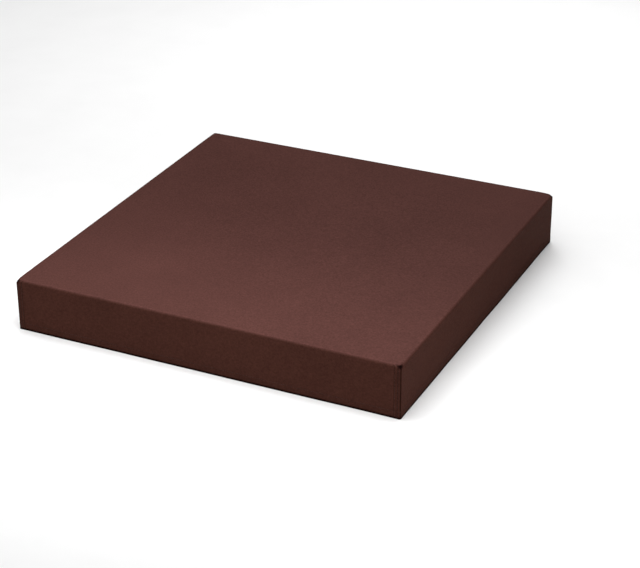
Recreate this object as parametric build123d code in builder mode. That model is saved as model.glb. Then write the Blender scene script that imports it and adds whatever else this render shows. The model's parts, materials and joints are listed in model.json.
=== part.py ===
"""A slip-on cover for a square spa: a cloth cap with a corded hem and four tie-down straps.

Millimetres. The origin is at the middle of the bottom, +Z is up and the front faces -Y.
The cover stands at rest on a flat floor, with its straps folded in underneath.
"""

import os
from math import cos, radians, sin

from build123d import *

# ---------------------------------------------------------------- cloth
cover_width = 2200.0  # over the two sides
cover_depth = 2200.0  # over the front and the back
cover_height = 300.0  # from the hem's edge to the top
sheet_thickness = 1.2  # coated polyester cloth
corner_radius = 8.0  # upright corners, outside
edge_roll = 16.0  # where the top turns down into the sides, outside
laid_gap = 0.1  # between layers that are sewn face to face

# ---------------------------------------------------------------- corner bindings
binding_thickness = 1.2
binding_reach = 35.0  # along each side, past the corner's round
binding_hem_gap = 3.0  # above the hem band

# ---------------------------------------------------------------- hem
hem_height = 45.0
hem_thickness = 1.2
hem_floor_gap = 0.4  # the channel stays this far above the cover's lower edge
channel_bend = 18.0  # the channel's middle line, at each corner
cord_diameter = 7.0
cord_end_gap = 1.0  # between the cord's two ends, inside the crimp
crimp_wall = 0.8
crimp_length = 24.0
crimp_gap = 0.1  # between the cord and the crimp, and the crimp and the channel

# ---------------------------------------------------------------- straps
strap_offset = 700.0  # from the middle of the wall
strap_width = 38.0
strap_thickness = 1.8
strap_length = 170.0  # from the hinge line to the plug's bar
strap_fold = 45.0  # the doubled end, sewn behind the bar
strap_highest = 80.0  # degrees above level, when it is tucked up inside
tab_slope = 45.0  # degrees below level, where the tab leaves the channel
tab_bend = 8.0  # the tab's middle line, where it leaves the hem band
motion_gap = 0.3  # between pieces that move past each other

# ---------------------------------------------------------------- plugs
plug_thickness = 11.0
plug_edge = 0.8  # rounding of the plug's long edges
bar_diameter = 4.0
window_gap = 1.0  # between the webbing's edge and a rail
rail_width = 5.0
rail_back = 4.5  # a rail's reach behind the bar
wall_start = 9.0  # the cross wall, from the bar
wall_thickness = 6.0
prong_length = 32.0
prong_width = 8.0
prong_thickness = 6.0
arm_thickness = 7.0
arm_width = 3.4
arm_length = 36.0  # from its root to its tip
arm_spread = 15.5  # the arm's root, from the plug's middle line
arm_root_diameter = 5.2
arm_tip_inset = 3.5  # the tip is this much nearer the middle line than the root
head_length = 20.0
head_bulge = 6.5  # the catch, outside the arm
plug_floor_gap = 0.3

# ---------------------------------------------------------------- worked out
channel_inside = cord_diameter / 2 + crimp_gap + crimp_wall + crimp_gap
channel_outside = channel_inside + hem_thickness
channel_inset = laid_gap + hem_thickness / 2 + channel_outside  # from the cloth's inner face
channel_height = hem_floor_gap + channel_outside
strap_height = plug_floor_gap + plug_thickness / 2
tab_inset = laid_gap + hem_thickness + laid_gap + strap_thickness / 2
tab_clear_radius = channel_outside + laid_gap + strap_thickness / 2
slope_rise = (
    tab_clear_radius + channel_inset * sin(radians(tab_slope)) + channel_height * cos(radians(tab_slope))
)


def slope_height(inset):
    """The height of the tab's sloping middle line at a distance from the cloth's inner face."""
    return (slope_rise - inset * sin(radians(tab_slope))) / cos(radians(tab_slope))


hinge_inset = (slope_rise - strap_height * cos(radians(tab_slope))) / sin(radians(tab_slope))
least_angle = 180.0 - tab_slope - strap_highest
tab_hinge_gap = (strap_thickness + motion_gap) / sin(radians(least_angle))
bar_ring_inside = bar_diameter / 2 + motion_gap
bar_ring_outside = bar_ring_inside + strap_thickness
window_half = strap_width / 2 + window_gap
plug_half = window_half + rail_width
arm_root_place = wall_start + wall_thickness


def save(part, name):
    part.label = name
    export_step(part, f"parts/{name}.step")


def envelope(inset):
    """The cover's outer form, drawn in by the same amount on its top and its sides.

    The rolled top edges meet in mitres at the corner seams, which an upright prism rounds off.
    """
    width = cover_width - 2 * inset
    depth = cover_depth - 2 * inset
    height = cover_height - inset
    with BuildPart() as form:
        with BuildSketch():
            Rectangle(width, depth)
        extrude(amount=height)
        fillet(form.faces().sort_by(Axis.Z)[-1].edges(), edge_roll - inset)
        with BuildSketch():
            RectangleRounded(width, depth, corner_radius - inset)
        extrude(amount=height, mode=Mode.INTERSECT)
    return form.part


def make_cover_shell():
    outside = envelope(0)
    inside = envelope(sheet_thickness)
    with BuildPart() as cover_shell:
        add(outside)
        add(inside, mode=Mode.SUBTRACT)
    save(cover_shell.part, "cover_shell")


def wall_ring(outer_inset, inner_inset):
    """A thin ring in plan that follows the walls, between two insets from the cloth's outside."""
    RectangleRounded(
        cover_width - 2 * outer_inset, cover_depth - 2 * outer_inset, corner_radius - outer_inset
    )
    RectangleRounded(
        cover_width - 2 * inner_inset,
        cover_depth - 2 * inner_inset,
        corner_radius - inner_inset,
        mode=Mode.SUBTRACT,
    )


def make_corner_binding(name, side_x, side_y):
    """A tape that covers one corner seam inside, from the hem band up to the roll."""
    outer_inset = sheet_thickness + laid_gap
    inner_inset = outer_inset + binding_thickness
    low = hem_height + binding_hem_gap
    high = cover_height - edge_roll
    reach = corner_radius + binding_reach
    with BuildPart() as binding:
        with BuildSketch(Plane.XY.offset(low)):
            wall_ring(outer_inset, inner_inset)
            with Locations((side_x * (cover_width - reach) / 2, side_y * (cover_depth - reach) / 2)):
                Rectangle(reach, reach, mode=Mode.INTERSECT)
        extrude(amount=high - low)
    save(binding.part, name)


def wall_plane(side, place):
    """Stands on the cloth's inner face at floor level: x goes inward, z goes up."""
    return Plane(
        origin=(place, side * (cover_depth / 2 - sheet_thickness), 0),
        x_dir=(0, -side, 0),
        z_dir=(0, 0, 1),
    )


def profile_plane(base):
    """The upright plane across the wall: x goes inward and y goes up."""
    return Plane(origin=base.origin, x_dir=base.x_dir, z_dir=-base.y_dir)


def channel_route(side, end_gap):
    """The channel's middle line all round, from the middle of one wall and back to it."""
    half_x = cover_width / 2 - sheet_thickness - channel_inset
    half_y = cover_depth / 2 - sheet_thickness - channel_inset
    start = end_gap / 2
    bends = 4 * [channel_bend]
    if end_gap == 0:
        bends.insert(0, 0)  # the closed route starts part of the way along a straight
    return FilletPolyline(
        (start, side * half_y, channel_height),
        (half_x, side * half_y, channel_height),
        (half_x, -side * half_y, channel_height),
        (-half_x, -side * half_y, channel_height),
        (-half_x, side * half_y, channel_height),
        (-start, side * half_y, channel_height),
        radius=bends,
    )


def make_hem_band():
    """The turned-up hem: a flat band inside the cloth and a channel along its foot."""
    outer_inset = sheet_thickness + laid_gap
    inner_inset = outer_inset + hem_thickness
    with BuildPart() as hem_band:
        with BuildLine():
            channel_route(-1, 0)
        with BuildSketch(profile_plane(wall_plane(-1, 0))):
            with Locations((channel_inset, channel_height)):
                Circle(channel_outside)
                Circle(channel_inside, mode=Mode.SUBTRACT)
        sweep()
        with BuildSketch(Plane.XY.offset(hem_floor_gap)):
            wall_ring(outer_inset, inner_inset)
        extrude(amount=hem_height - hem_floor_gap)
    save(hem_band.part, "hem_band")


def make_hem_cord():
    start = Plane(
        origin=(cord_end_gap / 2, cover_depth / 2 - sheet_thickness - channel_inset, channel_height),
        z_dir=(1, 0, 0),
    )
    with BuildPart() as hem_cord:
        with BuildLine():
            channel_route(1, cord_end_gap)
        with BuildSketch(start):
            Circle(cord_diameter / 2)
        sweep()
    save(hem_cord.part, "hem_cord")


def make_cord_crimp():
    middle = Plane(
        origin=(0, cover_depth / 2 - sheet_thickness - channel_inset, channel_height), z_dir=(1, 0, 0)
    )
    bore = cord_diameter / 2 + crimp_gap
    with BuildPart() as cord_crimp:
        with BuildSketch(middle):
            Circle(bore + crimp_wall)
            Circle(bore, mode=Mode.SUBTRACT)
        extrude(amount=crimp_length / 2, both=True)
    save(cord_crimp.part, "cord_crimp")


def make_strap_tab(name, base):
    """The sewn end of a strap: up the hem band, then sloping over the channel to the hinge line."""
    end_inset = hinge_inset - tab_hinge_gap * cos(radians(tab_slope))
    with BuildPart() as tab:
        with BuildSketch(profile_plane(base)):
            with BuildLine():
                FilletPolyline(
                    (tab_inset, hem_height - laid_gap),
                    (tab_inset, slope_height(tab_inset)),
                    (end_inset, slope_height(end_inset)),
                    radius=tab_bend,
                )
                offset(amount=strap_thickness / 2, side=Side.BOTH)
            make_face()
        extrude(amount=strap_width / 2, both=True)
    save(tab.part, name)


def make_strap(name, base):
    """The free webbing: round at the hinge line, doubled and sewn round the plug's bar."""
    fold_place = hinge_inset + strap_length - strap_fold / 2
    with BuildPart() as strap:
        with BuildSketch(profile_plane(base)):
            with Locations((hinge_inset, strap_height)):
                Circle(strap_thickness / 2)
            with Locations((hinge_inset + strap_length / 2, strap_height)):
                Rectangle(strap_length, strap_thickness)
            with Locations((fold_place, strap_height - strap_thickness / 2)):
                Rectangle(strap_fold, 2 * strap_thickness)
            with Locations((hinge_inset + strap_length, strap_height)):
                Circle(bar_ring_outside)
                Circle(bar_ring_inside, mode=Mode.SUBTRACT)
        extrude(amount=strap_width / 2, both=True)
    save(strap.part, name)


def bar_plane(base):
    """Stands on the middle of the plug's bar: x goes on along the strap and z goes up."""
    middle = base.from_local_coords(Vector(hinge_inset + strap_length, 0, strap_height))
    return Plane(origin=middle, x_dir=base.x_dir, z_dir=base.z_dir)


def make_plug(name, base):
    """The plug's frame: bar, two rails, cross wall and middle prong."""
    middle = bar_plane(base)
    rail_length = rail_back + wall_start + wall_thickness
    with BuildPart() as plug:
        with BuildSketch(middle.offset(-plug_thickness / 2)):
            with Locations((rail_length / 2 - rail_back, 0)):
                RectangleRounded(rail_length, 2 * plug_half, rail_width / 2)
            with Locations(((wall_start - rail_back) / 2 - rail_width / 2, 0)):
                Rectangle(wall_start + rail_back + rail_width, 2 * window_half, mode=Mode.SUBTRACT)
            with Locations((arm_root_place, arm_spread), (arm_root_place, -arm_spread)):
                Circle(arm_root_diameter / 2 + motion_gap, mode=Mode.SUBTRACT)
        extrude(amount=plug_thickness)
        with BuildSketch(middle.offset(-prong_thickness / 2)):
            with Locations((arm_root_place + prong_length / 2 - wall_thickness / 2, 0)):
                RectangleRounded(prong_length + wall_thickness, prong_width, prong_width / 2.2)
        extrude(amount=prong_thickness)
        fillet(plug.faces().group_by(Axis.Z)[0].edges(), plug_edge)
        fillet(plug.faces().group_by(Axis.Z)[-1].edges(), plug_edge)
        with BuildSketch(profile_plane(middle)):
            Circle(bar_diameter / 2)
        extrude(amount=window_half + rail_width / 2, both=True)
    save(plug.part, name)


def make_latch_arm(name, base, hand):
    """A springy arm: a slender beam from its round root to a head with a square catch."""
    root = arm_spread
    tip = arm_spread - arm_tip_inset
    head_start = arm_length - head_length
    with BuildPart() as arm:
        with BuildSketch(bar_plane(base).offset(-arm_thickness / 2)):
            with BuildLine():
                inner = Line(
                    (arm_root_place, hand * (root - arm_width / 2)),
                    (arm_root_place + arm_length, hand * (tip - arm_width / 2)),
                )
                nose = Line(inner @ 1, (arm_root_place + arm_length, hand * (tip + arm_width / 2)))
                crown = Bezier(
                    nose @ 1,
                    (arm_root_place + arm_length - head_length / 4, hand * (root + head_bulge)),
                    (arm_root_place + arm_length - head_length / 2, hand * (root + head_bulge)),
                    (arm_root_place + head_start, hand * (root + head_bulge)),
                )
                catch = Line(crown @ 1, (arm_root_place + head_start, hand * (root + arm_width / 2)))
                outer = Line(catch @ 1, (arm_root_place, hand * (root + arm_width / 2)))
                Line(outer @ 1, inner @ 0)
            make_face()
            with Locations((arm_root_place, hand * arm_spread)):
                Circle(arm_root_diameter / 2)
        extrude(amount=arm_thickness)
    save(arm.part, name)


os.makedirs("parts", exist_ok=True)
make_cover_shell()
make_hem_band()
make_hem_cord()
make_cord_crimp()
for end, side_y in (("front", -1), ("back", 1)):
    for hand_name, side_x in (("left", -1), ("right", 1)):
        make_corner_binding(f"corner_binding_{end}_{hand_name}", side_x, side_y)
        base = wall_plane(side_y, side_x * strap_offset)
        make_strap_tab(f"strap_tab_{end}_{hand_name}", base)
        make_strap(f"strap_{end}_{hand_name}", base)
        make_plug(f"plug_{end}_{hand_name}", base)
        make_latch_arm(f"latch_arm_left_{end}_{hand_name}", base, 1)
        make_latch_arm(f"latch_arm_right_{end}_{hand_name}", base, -1)
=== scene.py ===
"""The looks of the spa cover: one sheet of coated cloth with its seams, hem, tapes and straps.

Metres, in the CAD frame: +Z up, the front faces -Y, the origin is at the middle of the bottom.
"""

import json
import math

import bpy
import numpy as np
from mathutils import Matrix, Vector
from mathutils.bvhtree import BVHTree


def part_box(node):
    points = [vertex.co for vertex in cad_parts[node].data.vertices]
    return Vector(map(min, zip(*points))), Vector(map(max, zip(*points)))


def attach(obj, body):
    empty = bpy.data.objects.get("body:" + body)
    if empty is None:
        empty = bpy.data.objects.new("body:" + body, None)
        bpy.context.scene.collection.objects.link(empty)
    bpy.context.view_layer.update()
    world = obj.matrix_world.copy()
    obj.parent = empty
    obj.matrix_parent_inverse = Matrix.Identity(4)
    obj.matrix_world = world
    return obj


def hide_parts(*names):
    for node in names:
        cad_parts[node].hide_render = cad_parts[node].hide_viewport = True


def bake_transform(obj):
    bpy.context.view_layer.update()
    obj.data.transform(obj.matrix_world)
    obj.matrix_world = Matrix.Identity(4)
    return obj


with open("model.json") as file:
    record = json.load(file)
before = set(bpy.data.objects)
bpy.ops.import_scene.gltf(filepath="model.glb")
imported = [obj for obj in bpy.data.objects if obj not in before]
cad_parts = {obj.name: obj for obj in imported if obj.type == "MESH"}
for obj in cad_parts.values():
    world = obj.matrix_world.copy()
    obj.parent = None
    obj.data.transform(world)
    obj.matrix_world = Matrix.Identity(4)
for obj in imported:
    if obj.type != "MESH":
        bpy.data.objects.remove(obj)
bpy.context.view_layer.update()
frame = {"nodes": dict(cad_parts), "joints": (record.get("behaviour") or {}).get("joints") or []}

# ---------------------------------------------------------------- sizes
MM = 0.001
HALF_X, HALF_Y, HEIGHT = np.array(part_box("cover_shell")[1])
CORNER = 8 * MM  # the upright corners' radius, outside
ROLL = 16 * MM  # the radius where the top turns down
SHEET = 1.2 * MM  # the cloth's thickness
SEAM_LAP = 34 * MM  # the felled lap beside each corner seam
SEAM_ROW = 16 * MM  # the lap's inner row of stitching, from the seam
LAP_ROW = SEAM_LAP - 2.2 * MM  # its outer row
HEM_ROW = 41 * MM  # the hem's row of stitching, above the edge
STITCH = 3.4 * MM  # one stitch's length
STITCH_PITCH = 4.2 * MM  # from one stitch to the next
THREAD = 0.75 * MM  # its diameter
LAID = 0.1 * MM  # the gap between pieces that lie on each other

BAND = 1.2 * MM  # the thickness of the hem band and of the seam tapes
HEM_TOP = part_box("hem_band")[1][2]
CHANNEL = 5.7 * MM  # the outer radius of the channel at the hem's foot
CHANNEL_IN = LAID + BAND / 2 + CHANNEL  # its middle line, from the cloth's inner face
CHANNEL_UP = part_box("hem_band")[0][2] + CHANNEL  # and above the ground
CHANNEL_BEND = 18 * MM  # the radius of that line at each corner, in plan

WEBBING = 1.8 * MM
WEBBING_WIDTH = 38 * MM
BAR_RING = 3.2 * MM  # the webbing's middle line round the plug's bar
FOLD = 45 * MM  # the doubled end behind the bar
ENDS = ("front", "back")
HANDS = ("left", "right")

# The corners, in the order in which a walk round the cover from the front wall's left end meets them
CORNERS = (("front", "right"), ("back", "right"), ("back", "left"), ("front", "left"))
CORNER_SIGNS = ((1, -1), (1, 1), (-1, 1), (-1, -1))
LAP_SIDES = (-1, 1, -1, 1)  # which way each lap goes, so that all lie on the front or the back wall
DROOPS = (3 * MM, 5 * MM, 1 * MM, 3 * MM)  # how far the unsupported cloth dips at each top corner


# ---------------------------------------------------------------- materials
FLAT_ENOUGH = 0.72  # a face whose normal rises more than this is woven as a level one
TONE_STOPS = (0.32, 0.5, 0.68)  # where the clouds of tone are darkest, middling and lightest
# The scales of the cloth's noises, in turns to a metre
CLOUDS = 2.6
MOTTLE = 38.0
SLUBS = 105.0  # thicker and thinner threads
GRAIN = 900.0
SLUB_CONTRAST = 0.9
EDGE_HIGHLIGHT = 0.2  # how much lighter the painted highlight makes the top's rounded edges
# The height of the painted contact shadow along the foot
FOOT_SHADOW_HEIGHT = 16 * MM
# The colour that the seams' grooves, stitch rows and corner pockets are multiplied by: painted shade
CREASE_SHADE = (0.12, 0.1, 0.1, 1)
MATT = 0.003  # so low that the white ground's glare doesn't grey the walls


def shade_tree(name):
    """A material with an empty Principled shader, and a function that adds linked nodes."""
    material = bpy.data.materials.new(name)
    material.use_nodes = True
    tree = material.node_tree
    shader = tree.nodes["Principled BSDF"]

    def add(kind, links=(), **settings):
        node = tree.nodes.new(kind)
        for key, value in settings.items():
            setattr(node, key, value)
        for socket, source in dict(links).items():
            if isinstance(source, bpy.types.NodeSocket):
                tree.links.new(source, node.inputs[socket])
            else:
                node.inputs[socket].default_value = source
        return node

    return material, tree, shader, add


def maths(add, operation, *values):
    """The result of one sum; each value is a number or another node's result."""
    return add("ShaderNodeMath", dict(enumerate(values)), operation=operation).outputs[0]


def coordinates(add, kind):
    """The three parts of a point's place, or of its normal."""
    return add("ShaderNodeSeparateXYZ", {0: add("ShaderNodeTexCoord").outputs[kind]}).outputs


def face_coordinates(add):
    """Two coordinates in metres that lie in the surface: across and along, whichever way it faces."""
    place = coordinates(add, "Object")
    turned = coordinates(add, "Normal")
    flat = maths(add, "GREATER_THAN", maths(add, "ABSOLUTE", turned[2]), FLAT_ENOUGH)
    sideways = maths(
        add, "GREATER_THAN", maths(add, "ABSOLUTE", turned[0]), maths(add, "ABSOLUTE", turned[1])
    )
    wall = add("ShaderNodeMix", {0: sideways, 2: place[0], 3: place[1]}).outputs[0]
    across = add("ShaderNodeMix", {0: flat, 2: wall, 3: place[0]}).outputs[0]
    along = add("ShaderNodeMix", {0: flat, 2: place[2], 3: place[1]}).outputs[0]
    return across, along


def plain_weave(add, across, along, pitch):
    """Height from 0 to 1 of threads that go over and under each other."""
    turn = 2 * math.pi / pitch
    warp = maths(add, "SINE", maths(add, "MULTIPLY", across, turn))
    weft = maths(add, "SINE", maths(add, "MULTIPLY", along, turn))
    return maths(add, "MULTIPLY_ADD", maths(add, "MULTIPLY", warp, weft), 0.5, 0.5)


def noise(add, scale, detail=3.0, rough=0.55):
    """Noise fixed to the piece, with the given number of turns to a metre."""
    place = add("ShaderNodeTexCoord").outputs["Object"]
    links = {"Vector": place, "Scale": scale, "Detail": detail, "Roughness": rough}
    return add("ShaderNodeTexNoise", links).outputs["Fac"]


def ramp(add, factor, stops):
    """A colour ramp from (position, colour) pairs."""
    stops = list(stops)
    node = add("ShaderNodeValToRGB", {0: factor})
    elements = node.color_ramp.elements
    while len(elements) < len(stops):
        elements.new(0.5)
    for element, (position, color) in zip(elements, stops):
        element.position = position
        element.color = (*color, 1)
    return node.outputs["Color"]


def tint(add, factor, color, other):
    """Multiplies one colour by another."""
    links = {"Factor": factor, 6: color, 7: other}
    return add("ShaderNodeMix", links, data_type="RGBA", blend_type="MULTIPLY").outputs[2]


def bump(add, height, strength, distance, under=None):
    """A normal for small relief, on top of another such normal if one is given."""
    links = {"Height": height, "Strength": strength, "Distance": distance}
    if under is not None:
        links["Normal"] = under
    return add("ShaderNodeBump", links).outputs["Normal"]


def greys(*stops):
    """Stops of a ramp between greys, from (position, level) pairs."""
    return [(position, (level, level, level)) for position, level in stops]


def coated_cloth(name, tones, pitch, rough, specular, top_lit_tones=None):
    """Coated plain-weave cloth, with faint clouds of tone.

    Where lighter tones for what faces up are given, it takes them as painted light; the top's rounded
    edges get a painted highlight, the foot a painted contact shadow, and the seams' grooves, stitch rows
    and corner pockets painted shade.
    """
    material, tree, shader, add = shade_tree(name)
    across, along = face_coordinates(add)
    weave = plain_weave(add, across, along, pitch)
    clouds = noise(add, CLOUDS, 4.0, 0.6)
    mottle = noise(add, MOTTLE, 5.0, 0.65)
    grain = noise(add, GRAIN, 2.0, 0.5)
    tone = maths(add, "MULTIPLY_ADD", mottle, 0.45, maths(add, "MULTIPLY", clouds, 0.55))
    color = ramp(add, tone, zip(TONE_STOPS, tones))
    slubs = noise(add, SLUBS, 2.0, 0.7)
    uneven = maths(add, "MULTIPLY_ADD", slubs, SLUB_CONTRAST, 1 - SLUB_CONTRAST / 2)
    shade = maths(add, "MULTIPLY", maths(add, "MULTIPLY_ADD", weave, 0.16, 0.86), uneven)
    color = tint(add, 1.0, color, shade)
    if top_lit_tones:
        # Painted light: what faces up takes lighter tones, and the top's rounded edges a lighter painted
        # highlight band
        facing = coordinates(add, "Normal")[2]
        top_lit_color = ramp(add, tone, zip(TONE_STOPS, top_lit_tones))
        top_light_mask = ramp(add, facing, greys((0.2, 0), (0.95, 1)))
        # Painted highlight along the top's rounded edges
        roll_highlight_mask = ramp(add, facing, greys((0.45, 0), (0.86, 1), (0.96, 1), (0.998, 0)))
        lighter = maths(add, "MULTIPLY", shade, maths(add, "MULTIPLY_ADD", roll_highlight_mask, EDGE_HIGHLIGHT, 1))
        links = {"Factor": top_light_mask, 6: color, 7: tint(add, 1.0, top_lit_color, lighter)}
        color = add("ShaderNodeMix", links, data_type="RGBA").outputs[2]

        # Painted contact shadow: the last few millimetres above the ground are darkened
        level = maths(add, "DIVIDE", coordinates(add, "Object")[2], FOOT_SHADOW_HEIGHT)
        color = tint(add, 1.0, color, ramp(add, level, greys((0.0, 0.08), (0.45, 0.2), (1.0, 1))))
        # Painted shade in the seams' grooves, stitch rows and corner pockets, from the mesh's attribute
        crease = add("ShaderNodeAttribute", attribute_name="crease").outputs["Fac"]
        color = tint(add, crease, color, CREASE_SHADE)
    tree.links.new(color, shader.inputs["Base Color"])
    roughness = maths(add, "MULTIPLY_ADD", mottle, 0.18, rough - 0.09)
    tree.links.new(roughness, shader.inputs["Roughness"])
    soft = bump(add, clouds, 0.25, 4 * MM)
    fine = bump(add, grain, 0.25, 0.3 * MM, soft)
    tree.links.new(bump(add, weave, 0.5, 0.22 * MM, fine), shader.inputs["Normal"])
    shader.inputs["Specular IOR Level"].default_value = specular
    return material


def ribbed_webbing(name, dark, light, rib):
    """Heavy woven strap: ribs along it, crossed by finer picks."""
    material, tree, shader, add = shade_tree(name)
    place = coordinates(add, "Object")
    length = maths(add, "ADD", place[1], place[2])
    weave = plain_weave(add, place[0], length, rib)
    fuzz = noise(add, 1400.0, 3.0)
    tone = maths(add, "MULTIPLY_ADD", weave, 0.6, maths(add, "MULTIPLY", fuzz, 0.4))
    tree.links.new(ramp(add, tone, ((0.2, dark), (0.85, light))), shader.inputs["Base Color"])
    shader.inputs["Roughness"].default_value = 0.78
    shader.inputs["Sheen Weight"].default_value = 0.25
    lower = bump(add, fuzz, 0.3, 0.2 * MM)
    tree.links.new(bump(add, weave, 0.8, 0.45 * MM, lower), shader.inputs["Normal"])
    return material


def moulded_plastic(name, dark, light):
    material, tree, shader, add = shade_tree(name)
    speckle = noise(add, 700.0, 4.0, 0.6)
    wear = noise(add, 45.0, 5.0, 0.6)
    tree.links.new(ramp(add, wear, ((0.3, dark), (0.75, light))), shader.inputs["Base Color"])
    tree.links.new(maths(add, "MULTIPLY_ADD", wear, 0.2, 0.35), shader.inputs["Roughness"])
    tree.links.new(bump(add, speckle, 0.35, 0.2 * MM), shader.inputs["Normal"])
    return material


def braided_elastic(name):
    material, tree, shader, add = shade_tree(name)
    place = coordinates(add, "Object")
    run = maths(add, "ADD", place[0], place[1])
    rising = maths(add, "ADD", run, place[2])
    falling = maths(add, "SUBTRACT", run, place[2])
    weave = plain_weave(add, rising, falling, 2 * MM)
    colors = ((0.2, (0.012, 0.012, 0.014)), (0.8, (0.05, 0.05, 0.055)))
    tree.links.new(ramp(add, weave, colors), shader.inputs["Base Color"])
    shader.inputs["Roughness"].default_value = 0.7
    tree.links.new(bump(add, weave, 0.8, 0.4 * MM), shader.inputs["Normal"])
    return material


def pressed_metal(name):
    material, tree, shader, add = shade_tree(name)
    scratches = noise(add, 320.0, 6.0, 0.7)
    colors = ((0.3, (0.42, 0.42, 0.43)), (0.7, (0.66, 0.66, 0.67)))
    tree.links.new(ramp(add, scratches, colors), shader.inputs["Base Color"])
    tree.links.new(maths(add, "MULTIPLY_ADD", scratches, 0.25, 0.28), shader.inputs["Roughness"])
    shader.inputs["Metallic"].default_value = 1.0
    tree.links.new(bump(add, scratches, 0.2, 0.2 * MM), shader.inputs["Normal"])
    return material


def sewing_thread(name, color):
    material, tree, shader, add = shade_tree(name)
    ply = noise(add, 2500.0, 2.0)
    darker = tuple(0.6 * channel for channel in color)
    tree.links.new(ramp(add, ply, ((0.3, darker), (0.7, color))), shader.inputs["Base Color"])
    shader.inputs["Roughness"].default_value = 0.6
    tree.links.new(bump(add, ply, 0.5, 0.2 * MM), shader.inputs["Normal"])
    return material


CLOTH = coated_cloth(
    "coated_cloth",
    ((0.056, 0.0210, 0.0150), (0.062, 0.0232, 0.0167), (0.068, 0.0256, 0.0183)),
    pitch=1.5 * MM, rough=0.48, specular=MATT,
    # the lighter tones that what faces up takes: painted light
    top_lit_tones=((0.068, 0.0281, 0.0238), (0.075, 0.0309, 0.0261), (0.082, 0.0338, 0.0286)),
)
LINING = coated_cloth(
    "cloth_back",
    ((0.035, 0.018, 0.016), (0.045, 0.024, 0.021), (0.055, 0.03, 0.026)),
    pitch=1.5 * MM, rough=0.5, specular=0.1,
)
HEM_TAPE = coated_cloth(
    "hem_tape",
    ((0.055, 0.023, 0.019), (0.066, 0.027, 0.023), (0.075, 0.031, 0.026)),
    pitch=1.5 * MM, rough=0.66, specular=0.1,
)
BINDING = coated_cloth(
    "binding_tape",
    ((0.03, 0.015, 0.013), (0.04, 0.02, 0.017), (0.05, 0.025, 0.021)),
    pitch=1.1 * MM, rough=0.75, specular=0.1,
)
WEB = ribbed_webbing("strap_webbing", (0.008, 0.007, 0.007), (0.035, 0.031, 0.03), 2.0 * MM)
PLASTIC = moulded_plastic("buckle_plastic", (0.012, 0.012, 0.013), (0.028, 0.028, 0.03))
ELASTIC = braided_elastic("braided_elastic")
METAL = pressed_metal("pressed_metal")
THREADS = sewing_thread("sewing_thread", (0.05, 0.022, 0.019))
STRAP_THREADS = sewing_thread("strap_thread", (0.06, 0.055, 0.05))


# ---------------------------------------------------------------- mesh help
def new_piece(name, points, faces, *materials):
    """A smooth-shaded object from points and faces, in the scene."""
    mesh = bpy.data.meshes.new(name)
    mesh.from_pydata([tuple(p) for p in points], [], [tuple(int(i) for i in f) for f in faces])
    mesh.validate()
    mesh.update()
    mesh.shade_smooth()
    for material in materials:
        mesh.materials.append(material)
    piece = bpy.data.objects.new(name, mesh)
    bpy.context.scene.collection.objects.link(piece)
    return piece


def apply_modifiers(piece):
    """Puts the evaluated mesh in the piece's place, with no modifiers left."""
    graph = bpy.context.evaluated_depsgraph_get()
    mesh = bpy.data.meshes.new_from_object(piece.evaluated_get(graph))
    piece.modifiers.clear()
    piece.data = mesh


def wave(place, lengths, seed):
    """A smooth uneven line or field: sines of the given lengths, with fixed phases. About -1 to 1."""
    draw = np.random.default_rng(seed)
    place = np.atleast_2d(place)
    total = np.zeros(place.shape[1])
    for length in lengths:
        turns = draw.uniform(-1, 1, place.shape[0])
        turns /= np.linalg.norm(turns)
        phase = draw.uniform(0, 2 * math.pi)
        total += np.sin(2 * math.pi * (turns @ place) / length + phase)
    return total / len(lengths)


def bell(distance, reach):
    """1 at no distance, falling smoothly to nothing at about twice the reach."""
    return np.exp(-((distance / reach) ** 2))


def step(value, low, high):
    """0 below low, 1 above high, smooth between."""
    part = np.clip((value - low) / (high - low), 0, 1)
    return part * part * (3 - 2 * part)


# ---------------------------------------------------------------- columns round the cover
def graded(half, near, fine, far, growth=1.13):
    """Places from -half to half: near apart for a fine stretch at both ends, wider in the middle."""
    places = [0.0]
    gap = near
    while places[-1] < half:
        places.append(places[-1] + gap)
        if places[-1] > fine:
            gap = min(gap * growth, far)
    left = np.array(places) * half / places[-1] - half
    return np.concatenate([left[:-1], -left[::-1]])


def columns(across_x, across_y, arc):
    """Columns round the cover, from the front wall's left end.

    Each has a place on the unit square, an outward turn, and its run round the outside.
    across_x and across_y are places along the walls between the corners' rounds; arc holds the
    turns within a corner, ends left out. Also gives each corner seam's run, and the whole run.
    """
    unit, turns, runs, seams = [], [], [], []
    run = 0.0
    for side in range(4):
        turn = (side - 1) * math.pi / 2
        outward = np.array([math.cos(turn), math.sin(turn)])
        along = np.array([-outward[1], outward[0]])
        places = across_x if side % 2 == 0 else across_y
        for place in places:
            unit.append(outward + along * place / places[-1])
            turns.append(turn)
            runs.append(run + place - places[0])
        run += places[-1] - places[0]
        for bend in arc:
            unit.append(outward + along)
            turns.append(turn + bend)
            runs.append(run + bend * CORNER)
        seams.append(run + CORNER * math.pi / 4)
        run += CORNER * math.pi / 2
    return np.round(np.array(unit), 9), np.array(turns), np.array(runs), np.array(seams), run


def ring(unit, turns, inset, radius):
    """The columns' places in plan, on a rounded square drawn in from the cover's outside."""
    straight = np.array([HALF_X, HALF_Y]) - inset - radius
    outward = np.stack([np.cos(turns), np.sin(turns)], axis=1)
    return unit * straight + outward * radius


def from_seam(runs, seam, total):
    """Signed length along the outside from a corner seam."""
    return (runs - seam + total / 2) % total - total / 2


def corner_centre(corner):
    """The middle of a corner's round, in plan."""
    sign_x, sign_y = CORNER_SIGNS[corner]
    return np.array([sign_x * (HALF_X - CORNER), sign_y * (HALF_Y - CORNER)])


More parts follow.
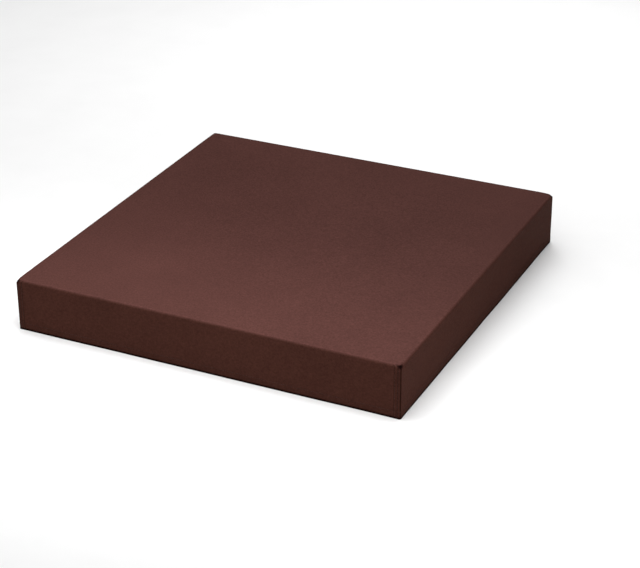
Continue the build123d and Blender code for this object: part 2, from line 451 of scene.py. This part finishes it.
def wall_drift(runs, height):
    """How far the cloth stands out from its true wall, or in: folds 0.4 to 1.1 m long."""
    down = 1 - height / HEIGHT
    slow = wave(np.array([runs]), (0.71, 1.13, 0.46), 11)
    slant = wave(np.array([runs, 2.2 * height]), (0.38, 0.9, 0.6), 12)
    return (slow * (0.25 + 0.75 * down) + 0.8 * slant * np.sin(np.pi * np.clip(down, 0, 1))) * MM


# ---------------------------------------------------------------- the cloth
FINE_GAP = 1.5 * MM  # between columns, for a stretch beside each corner
FINE_STRETCH = 34 * MM
WIDE_GAP = 16 * MM  # between columns elsewhere
GRID_INSET = 48 * MM  # the top's square grid ends this far in, and rings go on from there
ROLL_SOFTENING = 0.6  # how fast the corner's round grows over the roll
TILT = 0.02  # of the height, up at the far right corner and down at the near left one
DROOP_REACH = 38 * MM  # how far from a top corner its dip goes
POCKET_DOWN = 18 * MM  # the pocket at the head of each corner seam, from where the roll starts
POCKET_HALF = 16 * MM  # half its width
POCKET_TALL = 8.5 * MM  # half its height, about
POCKET_DEEP = 5.5 * MM
ROW_HEAD = 1.6 * ROLL  # the lap's rows of stitching start this far below the top


def shell_rings():
    """(inset, height, corner radius, lean, length down from the roll's start) for each ring."""
    widest = CORNER + ROLL_SOFTENING * ROLL
    rings = []
    for inset in np.linspace(GRID_INSET, ROLL, 9):
        radius = widest * (GRID_INSET - inset) / (GRID_INSET - ROLL)
        rings.append((inset, HEIGHT, radius, 0.0, ROLL - inset))
    for lean in np.linspace(0, math.pi / 2, 19)[1:]:
        inset = ROLL * (1 - math.sin(lean))
        height = HEIGHT - ROLL * (1 - math.cos(lean))
        rings.append((inset, height, CORNER + ROLL_SOFTENING * inset, lean, ROLL * lean))
    foot_of_roll = HEIGHT - ROLL
    head = foot_of_roll - np.arange(1, 13) * 2 * MM
    wall = np.linspace(head[-1], HEM_ROW + 8 * MM, 28)[1:]
    hem = HEM_ROW + np.array([4, 2.4, 1.2, 0, -1.2, -2.4, -4]) * MM
    foot = np.linspace(HEM_ROW - 9 * MM, 2 * MM, 5)
    edge = np.array([1.2, 0.5, 0.0]) * MM
    for height in np.concatenate([head, wall, hem, foot, edge]):
        rings.append((0.0, height, CORNER, math.pi / 2, ROLL * math.pi / 2 + foot_of_roll - height))
    return rings


def top_drift(x, y):
    """The top's unevenness: slow swells that die out towards the edges."""
    inside = np.minimum(HALF_X - np.abs(x), HALF_Y - np.abs(y))
    swell = wave(np.array([x, y]), (0.62, 0.95, 1.4, 0.41), 21)
    ripple = wave(np.array([x, y]), (0.17, 0.24, 0.3), 22)
    return (-1.2 + 1.2 * swell + 0.25 * ripple) * MM * step(inside, 10 * MM, 250 * MM)


def lap_detail(gap, lap_side, on_wall):
    """A corner seam's groove and its lap, with two rows of stitching: (push, painted shade in the groove,
    rows and lap).
    """
    lap = gap * lap_side
    raised = step(lap, 0.8 * MM, 2.4 * MM) * (1 - step(lap, SEAM_LAP, SEAM_LAP + 1.6 * MM))
    push = 0.95 * MM * raised * on_wall - 2.0 * MM * bell(gap, 1.5 * MM) * on_wall
    for row in (SEAM_ROW, LAP_ROW):
        push -= 0.5 * MM * bell(lap - row, 1.2 * MM) * on_wall
    # Painted shade along the seam's groove, the lap's edge and its rows, and over the lap
    seam_line = 0.95 * bell(gap, 2.6 * MM)
    edge_line = 0.4 * bell(lap - SEAM_LAP - 0.8 * MM, 1.6 * MM)
    row_line = 0.5 * bell(lap - SEAM_ROW, 2.2 * MM)
    lap_shade = 0.1 * step(lap, 0, 2 * MM) * (1 - step(lap, SEAM_LAP, SEAM_LAP + 6 * MM))
    return push, (seam_line + edge_line + row_line + lap_shade) * on_wall


def pocket_detail(gap, lap_side, down):
    """The small pocket under the top's lip, with soft tucks either side: (push, pocket). The pocket's mask
    also sets the painted shade in it.
    """
    across = np.abs(gap + 2 * MM * lap_side)
    below = down - POCKET_DOWN
    pocket = np.exp(-((across / POCKET_HALF) ** 4)) * bell(below, POCKET_TALL)
    lip = bell(across, 18 * MM) * bell(below + 12 * MM, 6 * MM)
    tucks = np.cos(2 * math.pi * across / (15 * MM)) * bell(across, 26 * MM) * bell(below, 14 * MM)
    return 1.5 * MM * lip + 0.7 * MM * tucks - POCKET_DEEP * pocket, pocket


def hem_detail(height):
    """The hem's row of stitching, and the doubled cloth below it: (push, painted shade along the row)."""
    row = float(bell(height - HEM_ROW, 1.3 * MM))
    doubled = float(1 - step(np.array(height), HEM_ROW - 2 * MM, HEM_ROW + 2 * MM))
    edge = float(1 - step(np.array(height), 0.0, 1.6 * MM))
    return 0.5 * MM * doubled - 0.45 * MM * (row + edge), 0.2 * row


def cloth_detail(seam_places, height, lean, down):
    """All the small shapes in one ring of the cloth.

    Gives a push along the surface's normal, and how much painted shade each point takes in the seams'
    grooves, stitch rows and corner pockets, 0 to 1.
    """
    push = np.zeros(len(seam_places[0]))
    crease = np.zeros(len(push))
    on_wall = float(step(np.array(lean), 0.25, 0.9))
    for gap, lap_side in zip(seam_places, LAP_SIDES):
        lap_push, lap_painted_shade = lap_detail(gap, lap_side, on_wall)
        pocket_push, pocket = pocket_detail(gap, lap_side, down)
        push += lap_push + pocket_push
        # Painted shade: the pocket's darkness is painted on top of its dent
        crease = np.maximum(crease, lap_painted_shade + 1.5 * pocket)
    if lean > 1.5:
        hem_push, hem_painted_shade = hem_detail(height)
        push += hem_push
        crease = np.maximum(crease, hem_painted_shade)
    return push, np.clip(crease, 0, 1)


def cloth_mesh():
    """The cover's outer face: a grid for the top, then rings down to the hem.

    Gives its points, how much painted shade each takes, and its faces.
    """
    across_x = graded(HALF_X - CORNER, FINE_GAP, FINE_STRETCH, WIDE_GAP)
    across_y = graded(HALF_Y - CORNER, FINE_GAP, FINE_STRETCH, WIDE_GAP)
    half_arc = np.array([0, 0.09, 0.18, 0.28, 0.4, 0.54, 0.7, 0.86]) * math.pi / 4
    arc = math.pi / 4 + np.concatenate([-half_arc[:0:-1], half_arc])
    unit, turns, runs, seams, total = columns(across_x, across_y, arc)
    nx, ny = len(across_x), len(across_y)
    grid_x = (HALF_X - GRID_INSET) * across_x / across_x[-1]
    grid_y = (HALF_Y - GRID_INSET) * across_y / across_y[-1]
    grid = np.array([(x, y, HEIGHT) for y in grid_y for x in grid_x])
    points, painted_shades, faces = [grid], [np.zeros(len(grid))], []
    for j in range(ny - 1):
        for i in range(nx - 1):
            first = j * nx + i
            faces.append((first, first + 1, first + nx + 1, first + nx))

    # The first ring is the grid's own edge, with every arc column at its corner
    edge = []
    for side in range(4):
        for k in range((nx, ny)[side % 2]):
            edge.append((k, k * nx + nx - 1, nx * ny - 1 - k, (ny - 1 - k) * nx)[side])
        edge += [edge[-1]] * len(arc)
    count = len(unit)
    outward = np.stack([np.cos(turns), np.sin(turns)], axis=1)
    seam_places = [from_seam(runs, seam, total) for seam in seams]
    ring_index = [np.array(edge)]
    start = len(grid)
    for inset, height, radius, lean, down in shell_rings()[1:]:
        base = np.column_stack([ring(unit, turns, inset, radius), np.full(count, height)])
        normal = np.column_stack([outward * math.sin(lean), np.full(count, math.cos(lean))])
        push, crease = cloth_detail(seam_places, height, lean, down)
        push += math.sin(lean) ** 2 * wall_drift(runs, np.full(count, height))
        painted_shades.append(crease)
        points.append(base + normal * push[:, None])
        ring_index.append(np.arange(start, start + count))
        start += count
    for upper, lower in zip(ring_index, ring_index[1:]):
        for k in range(count):
            n = (k + 1) % count
            corners = [upper[k], lower[k], lower[n]]
            if upper[n] != upper[k]:
                corners.append(upper[n])
            faces.append(tuple(corners))
    return np.concatenate(points), np.concatenate(painted_shades), faces


def settle(points):
    """Gives the top its slow unevenness and its dipped corners, and the whole its slight tilt."""
    on_top = step(points[:, 2], HEIGHT - ROLL, HEIGHT - ROLL / 3)
    points[:, 2] += on_top * top_drift(points[:, 0], points[:, 1])
    for (sign_x, sign_y), droop in zip(CORNER_SIGNS, DROOPS):
        from_corner = np.hypot(HALF_X - sign_x * points[:, 0], HALF_Y - sign_y * points[:, 1])
        points[:, 2] -= on_top * droop * bell(from_corner, DROOP_REACH)
    points[:, 2] *= 1 + TILT * (points[:, 0] + points[:, 1]) / (HALF_X + HALF_Y)


def cover_cloth():
    """The cover itself: one sheet, with its coated face outside and its lining inside."""
    points, painted_shades, faces = cloth_mesh()
    settle(points)
    piece = new_piece("cover_cloth", points, faces, CLOTH, LINING)
    # Painted shade for the seams and pockets, carried to the material as a mesh attribute
    crease = piece.data.attributes.new("crease", "FLOAT", "POINT")
    crease.data.foreach_set("value", painted_shades)
    solid = piece.modifiers.new("thickness", "SOLIDIFY")
    solid.thickness = SHEET
    solid.offset = -1
    solid.material_offset = 1
    solid.material_offset_rim = 0
    apply_modifiers(piece)
    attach(piece, "cover")
    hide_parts("cover_shell")
    return piece


# ---------------------------------------------------------------- thread
STITCH_SIDES = 6
# A stitch from end to end: place along it, thickness and lift, so that it dips into the cloth
STITCH_SHAPE = (
    (-0.5, 0.25, -0.45), (-0.38, 0.9, 0.1), (0.0, 1.0, 0.32), (0.38, 0.9, 0.1), (0.5, 0.25, -0.45),
)


def one_stitch(centre, ahead, up, first):
    """The points and faces of one round-ended stitch, whose first point has the given number."""
    points, faces = [], []
    side = np.cross(ahead, up)
    for along, fat, lift in STITCH_SHAPE:
        middle = centre + ahead * along * STITCH + up * lift * THREAD
        for a in range(STITCH_SIDES):
            turn = 2 * math.pi * a / STITCH_SIDES
            spoke = side * math.cos(turn) + up * math.sin(turn)
            points.append(middle + spoke * THREAD / 2 * fat)
    for j in range(len(STITCH_SHAPE) - 1):
        low = first + j * STITCH_SIDES
        high = low + STITCH_SIDES
        for a in range(STITCH_SIDES):
            b = (a + 1) % STITCH_SIDES
            faces.append((low + a, low + b, high + b, high + a))
    faces.append(tuple(range(first + STITCH_SIDES - 1, first - 1, -1)))
    last = first + len(points) - STITCH_SIDES
    faces.append(tuple(range(last, last + STITCH_SIDES)))
    return points, faces


def stitches(name, rows, material):
    """Rows of stitches, evenly spaced. rows: (points along the row, surface normals there)."""
    points, faces = [], []
    for line, normals in rows:
        lengths = np.concatenate([[0], np.cumsum(np.linalg.norm(np.diff(line, axis=0), axis=1))])
        for middle in np.arange(STITCH_PITCH / 2, lengths[-1], STITCH_PITCH):
            centre = np.array([np.interp(middle, lengths, line[:, a]) for a in range(3)])
            up = np.array([np.interp(middle, lengths, normals[:, a]) for a in range(3)])
            k = min(int(np.searchsorted(lengths, middle)), len(line) - 1)
            ahead = line[k] - line[k - 1]
            ahead /= np.linalg.norm(ahead)
            up -= ahead * ahead.dot(up)
            up /= np.linalg.norm(up)
            new_points, new_faces = one_stitch(centre, ahead, up, len(points))
            points += new_points
            faces += new_faces
    return new_piece(name, points, faces, material)


CAST_FROM = 20 * MM  # how far outside the cloth a point's way in starts


def on_cloth(cloth_tree, points, outward):
    """Each point moved onto the cloth's outer face, with that face's normal."""
    places, normals = [], []
    for point, way in zip(points, outward):
        start = Vector(point) + Vector(way) * CAST_FROM
        hit, normal, _, _ = cloth_tree.ray_cast(start, -Vector(way))
        if hit is not None:
            places.append(np.array(hit))
            normals.append(np.array(normal))
    return np.array(places), np.array(normals)


def lap_rows(tree):
    """Two rows down each corner lap."""
    rows = []
    for corner, lap_side in enumerate(LAP_SIDES):
        turn = (corner - 1) * math.pi / 2 + math.pi / 4 + lap_side * math.pi / 4
        way = np.array([math.cos(turn), math.sin(turn), 0])
        along = lap_side * np.array([-way[1], way[0], 0])
        centre = np.append(corner_centre(corner), 0)
        for gap in (SEAM_ROW, LAP_ROW):
            foot = centre + way * CORNER + along * (gap - CORNER * math.pi / 4)
            heights = np.linspace(HEIGHT - ROW_HEAD, 3 * MM, 60)
            line = np.array([foot + (0, 0, height) for height in heights])
            rows.append(on_cloth(tree, line, [way] * len(line)))
    return rows


def hem_stitch_row(tree):
    """One closed row round the hem."""
    across_x = np.linspace(-(HALF_X - CORNER), HALF_X - CORNER, 160)
    across_y = np.linspace(-(HALF_Y - CORNER), HALF_Y - CORNER, 160)
    arc = np.linspace(0, math.pi / 2, 12)[1:-1]
    unit, turns, _, _, _ = columns(across_x, across_y, arc)
    ways = np.stack([np.cos(turns), np.sin(turns), 0 * turns], axis=1)
    line = np.column_stack([ring(unit, turns, 0, CORNER), np.full(len(unit), HEM_ROW)])
    places, normals = on_cloth(tree, line, ways)
    return np.concatenate([places, places[:1]]), np.concatenate([normals, normals[:1]])


def cover_stitching(cloth):
    """The thread that shows on the cover's outside."""
    tree = BVHTree.FromObject(cloth, bpy.context.evaluated_depsgraph_get())
    corner_sewing = stitches("corner_stitching", lap_rows(tree), THREADS)
    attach(corner_sewing, "cover")
    hem_sewing = stitches("hem_stitching", [hem_stitch_row(tree)], THREADS)
    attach(hem_sewing, "cover")


# ---------------------------------------------------------------- hem and tapes
def ribbon(line, normals, half):
    """The closed outline of a band of cloth: out along its line and back, with pointed ends."""
    ahead = np.gradient(line, axis=0)
    ahead /= np.linalg.norm(ahead, axis=1)[:, None]
    out = line + normals * half
    back = line - normals * half
    end = line[-1] + ahead[-1] * half * 0.7
    start = line[0] - ahead[0] * half * 0.7
    return np.concatenate([out, [end], back[::-1], [start]])


def hem_outline():
    """The hem band in profile: down the cloth, round the channel and back against itself."""
    band_line = LAID + BAND / 2
    radius = CHANNEL - BAND / 2
    down = [(band_line, z) for z in np.linspace(HEM_TOP - 0.4 * MM, CHANNEL_UP + 1 * MM, 7)]
    close = math.acos((CHANNEL_IN - band_line - BAND) / radius)
    turns = np.linspace(math.pi, 3 * math.pi - close, 30)
    ring = [(CHANNEL_IN + radius * math.cos(t), CHANNEL_UP + radius * math.sin(t)) for t in turns]
    line = np.array(down + ring)
    ahead = np.gradient(line, axis=0)
    ahead /= np.linalg.norm(ahead, axis=1)[:, None]
    normals = np.stack([-ahead[:, 1], ahead[:, 0]], axis=1)
    return line, normals


GATHERS = 190  # small gathers in the channel, round the whole hem
HEM_GAP = 8 * MM  # between the hem band's columns


def hem_band():
    """The hem band, sewn up the cloth's inner face and gathered round the elastic."""
    line, normals = hem_outline()
    outline = ribbon(line, normals, BAND / 2)
    across_x = np.linspace(-(HALF_X - CORNER), HALF_X - CORNER, int(2 * HALF_X / HEM_GAP))
    across_y = np.linspace(-(HALF_Y - CORNER), HALF_Y - CORNER, int(2 * HALF_Y / HEM_GAP))
    arc = np.linspace(0, math.pi / 2, 14)[1:-1]
    unit, turns, runs, _, total = columns(across_x, across_y, arc)
    outward = np.stack([np.cos(turns), np.sin(turns)], axis=1)
    unevenness = 1 + 0.5 * wave(np.array([runs]), (0.3, 0.7), 31)
    gathers = np.sin(2 * math.pi * runs / (total / GATHERS)) * unevenness
    points = []
    for inset, height in outline:
        heights = np.full(len(unit), height)
        in_channel = float(step(np.array(-height), -20 * MM, -11 * MM))
        loose = in_channel * float(step(np.array(inset), 2 * MM, CHANNEL_IN))
        close_bend = max(CORNER - SHEET - inset, 1 * MM)
        wide_bend = CHANNEL_BEND + CHANNEL_IN - inset
        radius = close_bend + in_channel * (wide_bend - close_bend)
        drift = wall_drift(runs, heights) + 0.35 * MM * gathers * loose
        place = ring(unit, turns, SHEET + inset, radius) + outward * drift[:, None]
        points.append(np.column_stack([place, heights + 0.3 * MM * gathers * loose]))
    count, rings = len(unit), len(outline)
    points = np.concatenate(points)
    faces = []
    for j in range(rings):
        below = (j + 1) % rings
        for k in range(count):
            n = (k + 1) % count
            faces.append((j * count + k, j * count + n, below * count + n, below * count + k))
    piece = new_piece("hem_band_cloth", points, faces, HEM_TAPE)
    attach(piece, "cover")
    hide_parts("hem_band")


TAPE_WING = 35 * MM  # each flat half of a seam tape, beside the corner's round
TAPE_LEVELS = 40
TAPE_TUCK = 3.2 * MM  # how far the tape's head leans in, clear of the pocket
TAPE_TUCK_HEIGHT = 24 * MM
TAPE_GROOVE = 2.3 * MM  # how far it goes in behind the seam's groove
TAPE_CLEAR = 0.25 * MM  # a little more room between the tape and the cloth
TAPE_HEM = 0.55  # the thickness at its edges, as a share of the rest
TAPE_RUFFLE = 0.12 * MM


def seam_tape_plan(corner):
    """(place in plan, turn) across a seam tape, from one edge round the corner to the other."""
    turn = (corner - 1) * math.pi / 2
    side = turn + math.pi / 2
    centre = corner_centre(corner)
    spots = []
    for back in np.linspace(-TAPE_WING, -2 * MM, 9):
        spots.append((centre + back * np.array([-math.sin(turn), math.cos(turn)]), turn))
    for bend in np.linspace(0, math.pi / 2, 15):
        spots.append((centre, turn + bend))
    for on in np.linspace(2 * MM, TAPE_WING, 9):
        spots.append((centre + on * np.array([-math.sin(side), math.cos(side)]), side))
    return spots


def seam_tape_points(corner, heights):
    """The tape's outer face, then its inner one, each level by level."""
    spots = seam_tape_plan(corner)
    count = len(spots)
    middle_turn = (corner - 1) * math.pi / 2 + math.pi / 4
    radius = CORNER - SHEET - LAID - BAND / 2
    top = heights[-1]
    points = []
    for face in (1, -1):
        for height in heights:
            tuck = TAPE_TUCK * step(height, top - TAPE_TUCK_HEIGHT, top)
            for k, (foot, way) in enumerate(spots):
                at_edge = k in (0, count - 1)
                thick = BAND / 2 * (TAPE_HEM if at_edge else 1.0)
                ruffle = TAPE_RUFFLE * math.sin(height * 190 + 3 * k / count + corner)
                groove = TAPE_GROOVE * bell((way - middle_turn) * CORNER, 3 * MM)
                out = radius + face * thick - TAPE_CLEAR + ruffle - groove - tuck
                points.append((*(foot + out * np.array([math.cos(way), math.sin(way)])), height))
    return points, count


def closed_sheet(count, levels):
    """Faces of two layers of count points a level, joined all round their rim."""
    layer = count * levels
    faces = []
    for j in range(levels - 1):
        for k in range(count - 1):
            a = j * count + k
            d = a + count
            faces.append((a, a + 1, d + 1, d))
            faces.append((layer + d, layer + d + 1, layer + a + 1, layer + a))
    rim = list(range(count))
    rim += [j * count + count - 1 for j in range(1, levels)]
    rim += [(levels - 1) * count + k for k in range(count - 2, -1, -1)]
    rim += [j * count for j in range(levels - 2, 0, -1)]
    for a, b in zip(rim, rim[1:] + rim[:1]):
        faces.append((b, a, layer + a, layer + b))
    return faces


def seam_tape(corner, end, hand):
    """A tape over one corner seam, inside."""
    node = f"corner_binding_{end}_{hand}"
    low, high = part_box(node)
    points, count = seam_tape_points(corner, np.linspace(low[2], high[2], TAPE_LEVELS))
    piece = new_piece(f"seam_tape_{end}_{hand}", points, closed_sheet(count, TAPE_LEVELS), BINDING)
    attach(piece, "cover")
    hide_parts(node)


# ---------------------------------------------------------------- straps
def smooth_path(points, radii, gap=1.2 * MM):
    """A line through corners that are rounded to the given radii, with points about gap apart."""
    points = [np.array(p, float) for p in points]
    line = [points[0]]
    for before, corner, after, radius in zip(points, points[1:], points[2:], radii):
        back = (before - corner) / np.linalg.norm(before - corner)
        on = (after - corner) / np.linalg.norm(after - corner)
        turn = math.acos(np.clip(-back.dot(on), -1, 1))
        cut = radius * math.tan(turn / 2)
        middle = corner + (back + on) / np.linalg.norm(back + on) * radius / math.cos(turn / 2)
        first = corner + back * cut
        count = max(3, int(turn * radius / gap))
        start_spoke = first - middle
        for k in range(count + 1):
            angle = turn * k / count
            line.append(middle + start_spoke * math.cos(angle) - back * radius * math.sin(angle))
    line.append(points[-1])
    line = np.array(line)
    lengths = np.concatenate([[0], np.cumsum(np.linalg.norm(np.diff(line, axis=0), axis=1))])
    even = np.linspace(0, lengths[-1], int(lengths[-1] / gap))
    return np.column_stack([np.interp(even, lengths, line[:, a]) for a in range(2)])


WEB_RIBS = 12
WEB_EDGE = 0.028  # the rounded part of each edge, as a share of the width


def web_section():
    """A strap's half thickness across its width: (place across, thickness there)."""
    across = np.linspace(-0.5, 0.5, 4 * WEB_RIBS + 1)
    swell = 0.93 + 0.07 * np.cos(2 * math.pi * WEB_RIBS * across)
    from_flat = ((np.abs(across) - (0.5 - WEB_EDGE)) / WEB_EDGE).clip(0)
    edge = np.sqrt(np.clip(1 - from_flat ** 2, 0.06, 1))
    return across * WEBBING_WIDTH, WEBBING / 2 * swell * edge


TAB_IN = LAID + BAND + LAID + WEBBING / 2  # the sewn end's middle line, from the cloth's inner face
FOLD_DOWN = WEBBING + 0.05 * MM  # the doubled end's middle line, below the strap's
PARTING = 21 * MM  # the two layers part this far before the bar
OPEN = 9 * MM  # and are as far apart as they get by here


def strap_line(tab_top, hinge_in, level, bar):
    """The webbing's middle line, as (distance in from the cloth, height) places.

    It runs down the hem, over the channel, slopes in to the strap's level, goes round the plug's
    bar and doubles back under itself.
    """
    slope = hinge_in + level  # a line at 45 degrees that clears the channel
    corners = [
        (TAB_IN, tab_top),
        (TAB_IN, slope - TAB_IN),
        (hinge_in + 1 * MM, level - 0.4 * MM),
        (bar - PARTING, level),
        (bar - OPEN, level + BAR_RING),
        (bar + BAR_RING, level + BAR_RING),
        (bar + BAR_RING, level - BAR_RING),
        (bar - OPEN, level - BAR_RING),
        (bar - PARTING, level - FOLD_DOWN),
        (bar - FOLD, level - FOLD_DOWN),
    ]
    round_bar = BAR_RING * 0.98
    return smooth_path(corners, (7 * MM, 9 * MM, 12 * MM, 12 * MM, round_bar, round_bar, 12 * MM, 12 * MM))


def webbing_mesh(line, middle, wall, inward):
    """A strap's points and faces round its middle line, for a strap at x = middle."""
    ahead = np.gradient(line, axis=0)
    ahead /= np.linalg.norm(ahead, axis=1)[:, None]
    normals = np.stack([-ahead[:, 1], ahead[:, 0]], axis=1)
    across, thick = web_section()
    count = len(across)
    points = []
    for (inset, height), (nx, nz) in zip(line, normals):
        for face in (1, -1):
            for k in range(count)[::face]:
                y = -inward * (wall - (inset + nx * face * thick[k]))
                points.append((middle + across[k], y, height + nz * face * thick[k]))
    loop = 2 * count
    faces = []
    for j in range(len(line) - 1):
        for k in range(loop):
            n = (k + 1) % loop
            quad = (j * loop + k, j * loop + n, (j + 1) * loop + n, (j + 1) * loop + k)
            faces.append(quad[::int(inward)])
    first = tuple(range(loop))
    last = tuple(range((len(line) - 1) * loop, len(line) * loop))
    faces.append(first[::-int(inward)])
    faces.append(last[::int(inward)])
    return points, faces


SEWING_HALF = 14 * MM  # half the width of the sewn boxes
FOLD_SEWING = (24 * MM, 42 * MM)  # from the bar to the box's near and far ends
TAB_SEWING = (18 * MM, 40 * MM)  # the box's foot and head, above the ground


def box_and_cross(near, far):
    """A box with its diagonals, as (across, along) places in the order in which it is sewn."""
    half = SEWING_HALF
    return [
        (-half, near), (half, near), (half, far), (-half, far),
        (-half, near), (half, far), (half, near), (-half, far),
    ]


def sewn_lines(path, normal):
    """Each straight line of a path, as a row for stitches()."""
    return [(path[k:k + 2], np.tile(normal, (2, 1))) for k in range(len(path) - 1)]


def strap_piece(end, hand):
    """One strap of webbing, with the sewing at both its ends."""
    name = f"{end}_{hand}"
    joint = next(j for j in frame["joints"] if j["name"] == f"strap_{name}_swing")
    hinge = np.array(joint["pos_m"])
    inward = -math.copysign(1, hinge[1])
    wall = HALF_Y - SHEET
    level = hinge[2]
    strap_ends = [abs(corner[1]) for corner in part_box(f"strap_{name}")]
    bar = wall - min(strap_ends) - BAR_RING - WEBBING / 2
    tab_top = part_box(f"strap_tab_{name}")[1][2] - 0.3 * MM
    line = strap_line(tab_top, wall - abs(hinge[1]), level, bar)
    points, faces = webbing_mesh(line, hinge[0], wall, inward)
    piece = new_piece(f"webbing_{name}", points, faces, WEB)
    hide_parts(f"strap_{name}", f"strap_tab_{name}")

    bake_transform(piece)

    # Through the doubled end, seen from above and from below
    rows = []
    for side, height in ((1.0, level + WEBBING / 2), (-1.0, level - FOLD_DOWN - WEBBING / 2)):
        path = [
            (hinge[0] + a, -inward * (wall - bar + b), height)
            for a, b in box_and_cross(*FOLD_SEWING)
        ]
        rows += sewn_lines(np.array(path), (0.0, 0.0, side))
    sewing = stitches(f"strap_stitching_{name}", rows, STRAP_THREADS)
    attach(sewing, f"strap_{name}")

    # Through the sewn end, on the hem band
    face = -inward * (wall - TAB_IN - WEBBING / 2)
    path = [(hinge[0] + a, face, b) for a, b in box_and_cross(*TAB_SEWING)]
    rows = sewn_lines(np.array(path), (0.0, inward, 0.0))
    sewing = stitches(f"tab_stitching_{name}", rows, STRAP_THREADS)
    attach(sewing, "cover")


# ---------------------------------------------------------------- CAD nodes that stay in sight
def finish_node(node, material):
    """Gives a CAD node its material."""
    piece = frame["nodes"][node]
    piece.data.materials.clear()
    piece.data.materials.append(material)


def hardware():
    """The elastic, its crimp and the buckles' plugs."""
    finish_node("hem_cord", ELASTIC)
    finish_node("cord_crimp", METAL)
    for end in ENDS:
        for hand in HANDS:
            finish_node(f"plug_{end}_{hand}", PLASTIC)
            finish_node(f"latch_arm_left_{end}_{hand}", PLASTIC)
            finish_node(f"latch_arm_right_{end}_{hand}", PLASTIC)


# ---------------------------------------------------------------- studio
FLOOR_REACH = 30.0  # metres, each way
SKY_BRIGHTNESS = 1.45  # straight up; it falls with the square of the height
SKY_TILT = -0.6  # dimmer to the right
HORIZON = 0.03
# Each light's place, what it faces, its sides and its power in watts
LIGHTS = {
    "key": ((-0.4, 4.2, 4.6), (0, 0, 0.3), (3.0, 3.0), 130),
    "over_the_front": ((0.0, -1.15, 1.4), (0.0, -1.15, 0), (3.4, 0.9), 28),
    "by_the_side": ((3.2, -1.2, 1.4), (1.1, -0.9, 0.1), (0.8, 0.8), 7),
}


def ground():
    """A plain white ground."""
    corners = [(x * FLOOR_REACH, y * FLOOR_REACH, 0) for x, y in ((-1, -1), (1, -1), (1, 1), (-1, 1))]
    floor = new_piece("floor", corners, [(0, 1, 2, 3)])
    material, tree, shader, add = shade_tree("white_ground")
    color = ramp(add, noise(add, 3.0), greys((0.3, 0.9), (0.7, 0.92)))
    tree.links.new(color, shader.inputs["Base Color"])
    shader.inputs["Roughness"].default_value = 0.9
    shader.inputs["Specular IOR Level"].default_value = 0.1
    floor.data.materials.append(material)


def sky():
    """A room that is bright overhead, dim along the ground and a little dimmer to the right."""
    world = bpy.data.worlds.new("room")
    bpy.context.scene.world = world
    world.use_nodes = True
    tree = world.node_tree

    def math_node(operation, *values):
        node = tree.nodes.new("ShaderNodeMath")
        node.operation = operation
        for socket, value in zip(node.inputs, values):
            if isinstance(value, bpy.types.NodeSocket):
                tree.links.new(value, socket)
            else:
                socket.default_value = value
        return node.outputs[0]

    direction = tree.nodes.new("ShaderNodeSeparateXYZ")
    tree.links.new(tree.nodes.new("ShaderNodeTexCoord").outputs["Generated"], direction.inputs[0])
    overhead = math_node("MULTIPLY_ADD", direction.outputs[0], SKY_TILT, SKY_BRIGHTNESS)
    square = math_node("POWER", direction.outputs[2], 2.0)
    background = tree.nodes["Background"]
    background.inputs[0].default_value = (1, 1, 1, 1)
    tree.links.new(math_node("MULTIPLY_ADD", square, overhead, HORIZON), background.inputs[1])


def lights():
    """A large soft key from high behind, a low strip over the front edge and a small one at the side."""
    for name, (place, aim, sides, power) in LIGHTS.items():
        light = bpy.data.lights.new(name, "AREA")
        light.shape = "RECTANGLE"
        light.size, light.size_y = sides
        light.energy = power
        lamp = bpy.data.objects.new(name, light)
        lamp.location = Vector(place)
        lamp.rotation_euler = (Vector(aim) - lamp.location).to_track_quat("-Z", "Y").to_euler()
        bpy.context.scene.collection.objects.link(lamp)


# The camera's place and what it faces, in widths of the cover
CAMERA_PLACE = (1.906, -3.863, 2.202)
CAMERA_AIM = (0.0555, 0.0209, 0)
CAMERA_LENS = 107.8
CAMERA_ROLL = math.radians(-0.17)


def camera():
    """A long lens from the front right, 27 degrees above the ground."""
    width = 2 * HALF_X
    place = Vector(CAMERA_PLACE) * width
    aim = Vector(CAMERA_AIM) * width
    data = bpy.data.cameras.new("camera")
    data.lens = CAMERA_LENS
    data.sensor_width = 36
    eye = bpy.data.objects.new("camera", data)
    facing = (aim - place).to_track_quat("-Z", "Y").to_matrix().to_4x4()
    eye.matrix_world = Matrix.Translation(place) @ facing @ Matrix.Rotation(CAMERA_ROLL, 4, "Z")
    bpy.context.scene.collection.objects.link(eye)
    bpy.context.scene.camera = eye
    bpy.context.scene.view_settings.view_transform = "Standard"


camera()
ground()
sky()
lights()
cover_stitching(cover_cloth())
hem_band()
for corner, (end, hand) in enumerate(CORNERS):
    seam_tape(corner, end, hand)
for end in ENDS:
    for hand in HANDS:
        strap_piece(end, hand)
hardware()
